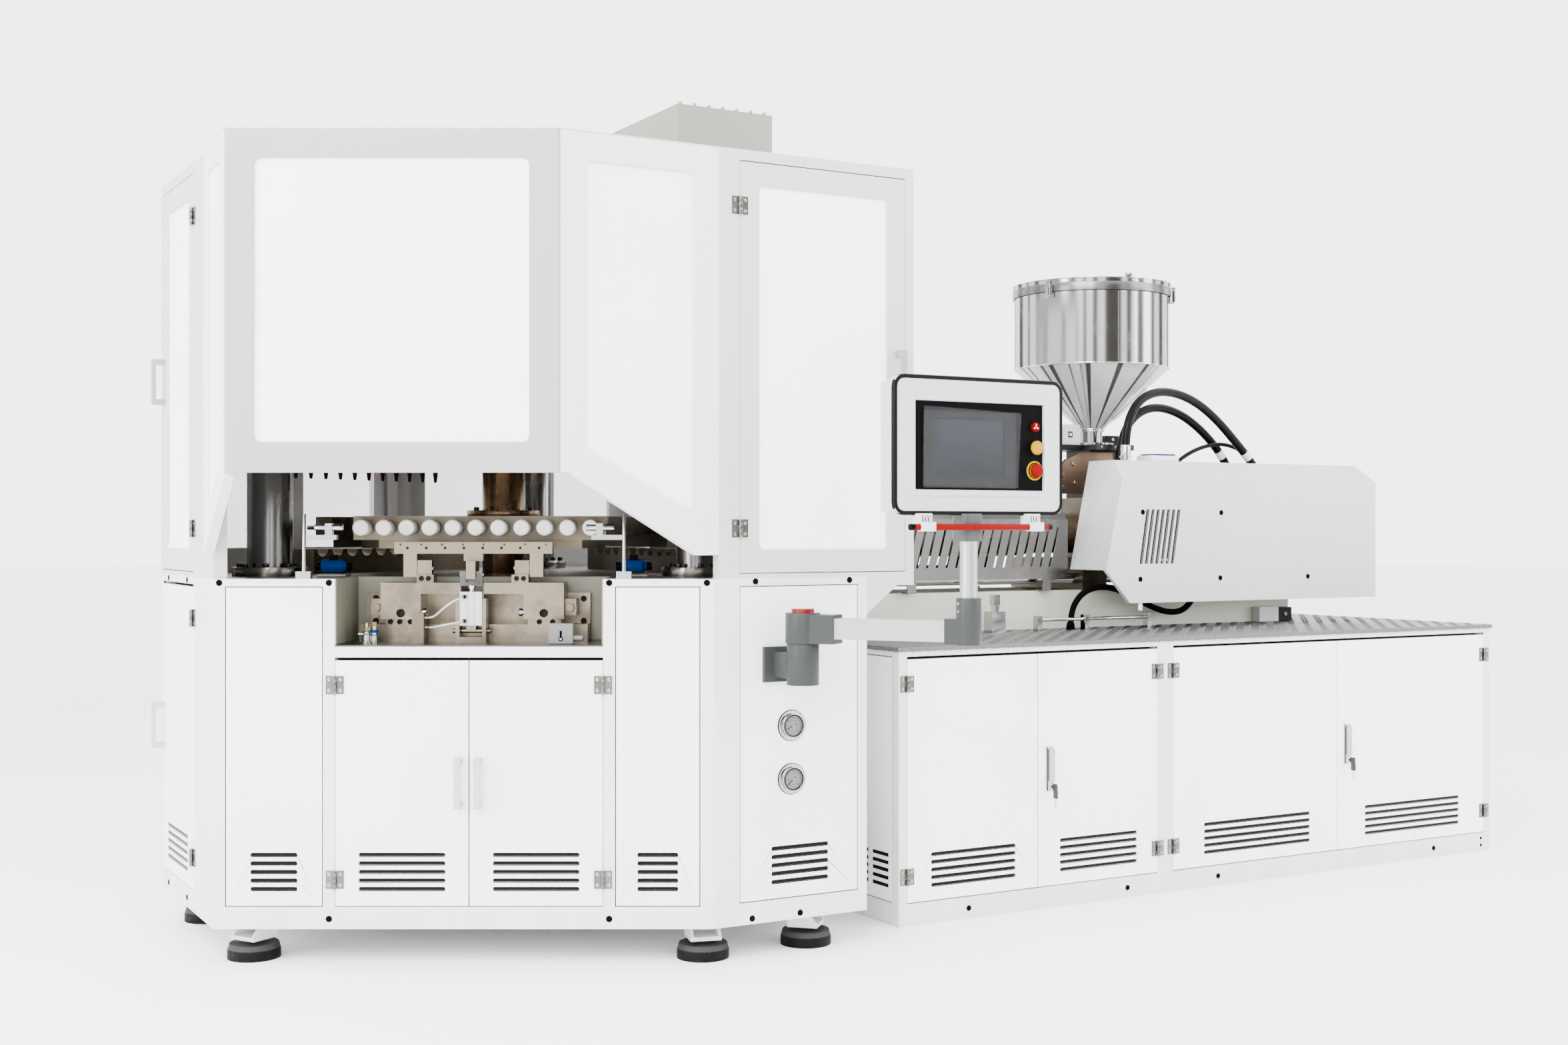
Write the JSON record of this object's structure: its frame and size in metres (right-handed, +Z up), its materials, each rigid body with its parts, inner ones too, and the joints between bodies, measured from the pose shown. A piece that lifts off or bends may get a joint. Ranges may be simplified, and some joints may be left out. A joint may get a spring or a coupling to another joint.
{
  "type": "blow moulding machine",
  "caption": "Injection blow moulding machine: glazed cell with clamp, turret and bottle stripper, bench with injection unit, hopper and drive cover, operator panel on a swing arm",
  "frame": {"origin": "centre of the footprint, on the floor", "axes": "+X runs along the injection axis from the moulding cell to the hopper bench, -Y is the operator side with the panel and the side door, +Z is up"},
  "size_m": [4.926, 2.608, 2.717],
  "materials": {
    "white_paint": "satin powder coat",
    "cream_paint": "satin paint",
    "grey_paint": "hammered grey paint",
    "black_steel": "blackened",
    "machined_steel": "ground",
    "stainless": "polished",
    "hard_chrome": "polished",
    "bronze": "ground",
    "tread_aluminium": "chequered",
    "frosted_glass": "frosted film",
    "bottle_white": "satin",
    "black_plastic": "fine texture",
    "panel_white": "satin",
    "yellow_plastic": "glossy",
    "red_plastic": "glossy",
    "black_rubber": "matt",
    "clear_tube": "clear"
  },
  "bodies": {
    "machine": {"base_frame": "white_paint", "foot_pads": "black_rubber", "vented_panels": "white_paint", "deck_plate": "machined_steel", "recess_liner": "cream_paint", "upper_frame": "white_paint", "hood_shell": "white_paint", "window_panes": "frosted_glass", "top_box": "cream_paint", "hinge_leaves": "hard_chrome", "tie_columns": "hard_chrome", "lower_moulds": "machined_steel", "stripper_base": "machined_steel", "row_sensors": "machined_steel", "bench_frame": "white_paint", "tread_plate": "tread_aluminium", "inner_drives": "grey_paint", "rail_base": "cream_paint", "adjusting_rod": "hard_chrome", "guide_rods": "hard_chrome", "barrel_guard": "stainless", "arm_bracket": "grey_paint", "pressure_gauges": "stainless", "cable_conduit": "black_plastic", "air_tubes": "clear_tube"},
    "clamp": {"clamp_platen": "machined_steel", "blow_nozzles": "black_plastic"},
    "lift": {"turret_shaft": "bronze"},
    "turret": {"turret_head": "machined_steel", "moulded_bottles": "bottle_white"},
    "stripper": {"stripper_bar": "machined_steel"},
    "stripper_ram": {"stripper_rod": "machined_steel"},
    "carriage": {"carriage": "black_steel", "barrel": "stainless", "hopper": "stainless", "injection_drive": "black_steel", "drive_cover": "white_paint", "hydraulic_hoses": "black_rubber"},
    "lid": {"hopper_lid": "stainless"},
    "arm": {"swing_arm": "grey_paint"},
    "panel": {"panel_tube": "hard_chrome", "panel_case": "panel_white", "panel_front": "black_plastic", "grab_bar": "red_plastic"},
    "stop": {"stop_button": "yellow_plastic"},
    "emergency": {"emergency_button": "red_plastic"},
    "front_door_left": {"front_door_left": "white_paint"},
    "front_door_right": {"front_door_right": "white_paint"},
    "end_door_lower": {"end_door_lower": "white_paint"},
    "end_door_upper": {"end_door_upper": "white_paint"},
    "side_window_door": {"side_window_door": "white_paint"},
    "nozzle_door": {"nozzle_door": "white_paint"},
    "bench_door_1": {"bench_door_1": "white_paint"},
    "bench_door_2": {"bench_door_2": "white_paint"},
    "bench_door_3": {"bench_door_3": "white_paint"},
    "bench_door_4": {"bench_door_4": "white_paint"},
    "lock_lever_1": {"lock_lever_1": "black_plastic"},
    "lock_key_1": {"lock_key_1": "hard_chrome"},
    "lock_lever_2": {"lock_lever_2": "black_plastic"},
    "lock_key_2": {"lock_key_2": "hard_chrome"}
  },
  "joints": [
    {"name": "front_door_left_hinge", "type": "hinge", "parent": "machine", "child": "front_door_left", "pos_m": [-2.11587, -0.18951, 0.5435], "axis": [0, 0, -1], "range_deg": [0, 110]},
    {"name": "front_door_right_hinge", "type": "hinge", "parent": "machine", "child": "front_door_right", "pos_m": [-1.43504, -0.58224, 0.5435], "axis": [0, 0, 1], "range_deg": [0, 110]},
    {"name": "end_door_lower_hinge", "type": "hinge", "parent": "machine", "child": "end_door_lower", "pos_m": [-2.4275, 0.263, 0.6475], "axis": [0, 0, 1], "range_deg": [0, 110]},
    {"name": "end_door_upper_hinge", "type": "hinge", "parent": "machine", "child": "end_door_upper", "pos_m": [-2.4275, 0.263, 1.765], "axis": [0, 0, 1], "range_deg": [0, 100]},
    {"name": "side_window_door_hinge", "type": "hinge", "parent": "machine", "child": "side_window_door", "pos_m": [-1.064, -0.7445, 1.765], "axis": [0, 0, -1], "range_deg": [0, 35]},
    {"name": "nozzle_door_hinge", "type": "hinge", "parent": "machine", "child": "nozzle_door", "pos_m": [-0.4385, -0.117, 1.758], "axis": [0, 0, 1], "range_deg": [0, 90]},
    {"name": "bench_door_1_hinge", "type": "hinge", "parent": "machine", "child": "bench_door_1", "pos_m": [-0.355, -0.5735, 0.472], "axis": [0, 0, -1], "range_deg": [0, 110]},
    {"name": "bench_door_2_hinge", "type": "hinge", "parent": "machine", "child": "bench_door_2", "pos_m": [0.707, -0.5735, 0.472], "axis": [0, 0, 1], "range_deg": [0, 90]},
    {"name": "bench_door_3_hinge", "type": "hinge", "parent": "machine", "child": "bench_door_3", "pos_m": [0.781, -0.5735, 0.472], "axis": [0, 0, -1], "range_deg": [0, 90]},
    {"name": "bench_door_4_hinge", "type": "hinge", "parent": "machine", "child": "bench_door_4", "pos_m": [2.42, -0.5735, 0.472], "axis": [0, 0, 1], "range_deg": [0, 110]},
    {"name": "lock_lever_1_turn", "type": "hinge", "parent": "bench_door_2", "child": "lock_lever_1", "pos_m": [0.228, -0.577, 0.529], "axis": [0, -1, 0], "range_deg": [0, 90]},
    {"name": "lock_key_1_turn", "type": "hinge", "parent": "bench_door_2", "child": "lock_key_1", "pos_m": [0.228, -0.577, 0.412], "axis": [0, -1, 0], "range_deg": [0, 90]},
    {"name": "lock_lever_2_turn", "type": "hinge", "parent": "bench_door_4", "child": "lock_lever_2", "pos_m": [1.65, -0.577, 0.529], "axis": [0, -1, 0], "range_deg": [0, 90]},
    {"name": "lock_key_2_turn", "type": "hinge", "parent": "bench_door_4", "child": "lock_key_2", "pos_m": [1.65, -0.577, 0.412], "axis": [0, -1, 0], "range_deg": [0, 90]},
    {"name": "clamp_close", "type": "slide", "parent": "machine", "child": "clamp", "axis": [0, 0, -1], "range_m": [0, 0.2745]},
    {"name": "turret_lift", "type": "slide", "parent": "machine", "child": "lift", "axis": [0, 0, -1], "range_m": [0, 0.07]},
    {"name": "turret_index", "type": "hinge", "parent": "lift", "child": "turret", "pos_m": [-1.409, 0.283, 1.29], "axis": [0, 0, 1], "range_deg": [0, 240]},
    {"name": "stripper_tilt", "type": "hinge", "parent": "machine", "child": "stripper", "pos_m": [-1.69506, -0.21291, 1.167], "axis": [0.8662, -0.4997, 0], "range_deg": [0, 15]},
    {"name": "stripper_stroke", "type": "slide", "parent": "machine", "child": "stripper_ram", "axis": [0, 0, -1], "range_m": [0, 0.01035]},
    {"name": "injection_slide", "type": "slide", "parent": "machine", "child": "carriage", "axis": [1, 0, 0], "range_m": [0, 0.15]},
    {"name": "hopper_lid_hinge", "type": "hinge", "parent": "carriage", "child": "lid", "pos_m": [1.113, 0.283, 2.2703], "axis": [-1, 0, 0], "range_deg": [0, 110]},
    {"name": "arm_swing", "type": "hinge", "parent": "machine", "child": "arm", "pos_m": [-0.912, -0.847, 0.995], "axis": [0, 0, -1], "range_deg": [-40, 60]},
    {"name": "panel_swivel", "type": "hinge", "parent": "arm", "child": "panel", "pos_m": [-0.607, -1.254, 1.055], "axis": [0, 0, 1], "range_deg": [-45, 45]},
    {"name": "stop_press", "type": "slide", "parent": "panel", "child": "stop", "axis": [0, 1, 0], "range_m": [0, 0.006], "stiffness_N_per_m": 600, "springref_m": -0.001},
    {"name": "emergency_press", "type": "slide", "parent": "panel", "child": "emergency", "axis": [0, 1, 0], "range_m": [0, 0.006]}
  ],
  "couplings": [
    {"joint": "turret_lift", "follows": "clamp_close", "ratio": 0.25501},
    {"joint": "stripper_stroke", "follows": "stripper_tilt", "m_per_rad": 0.0395}
  ]
}
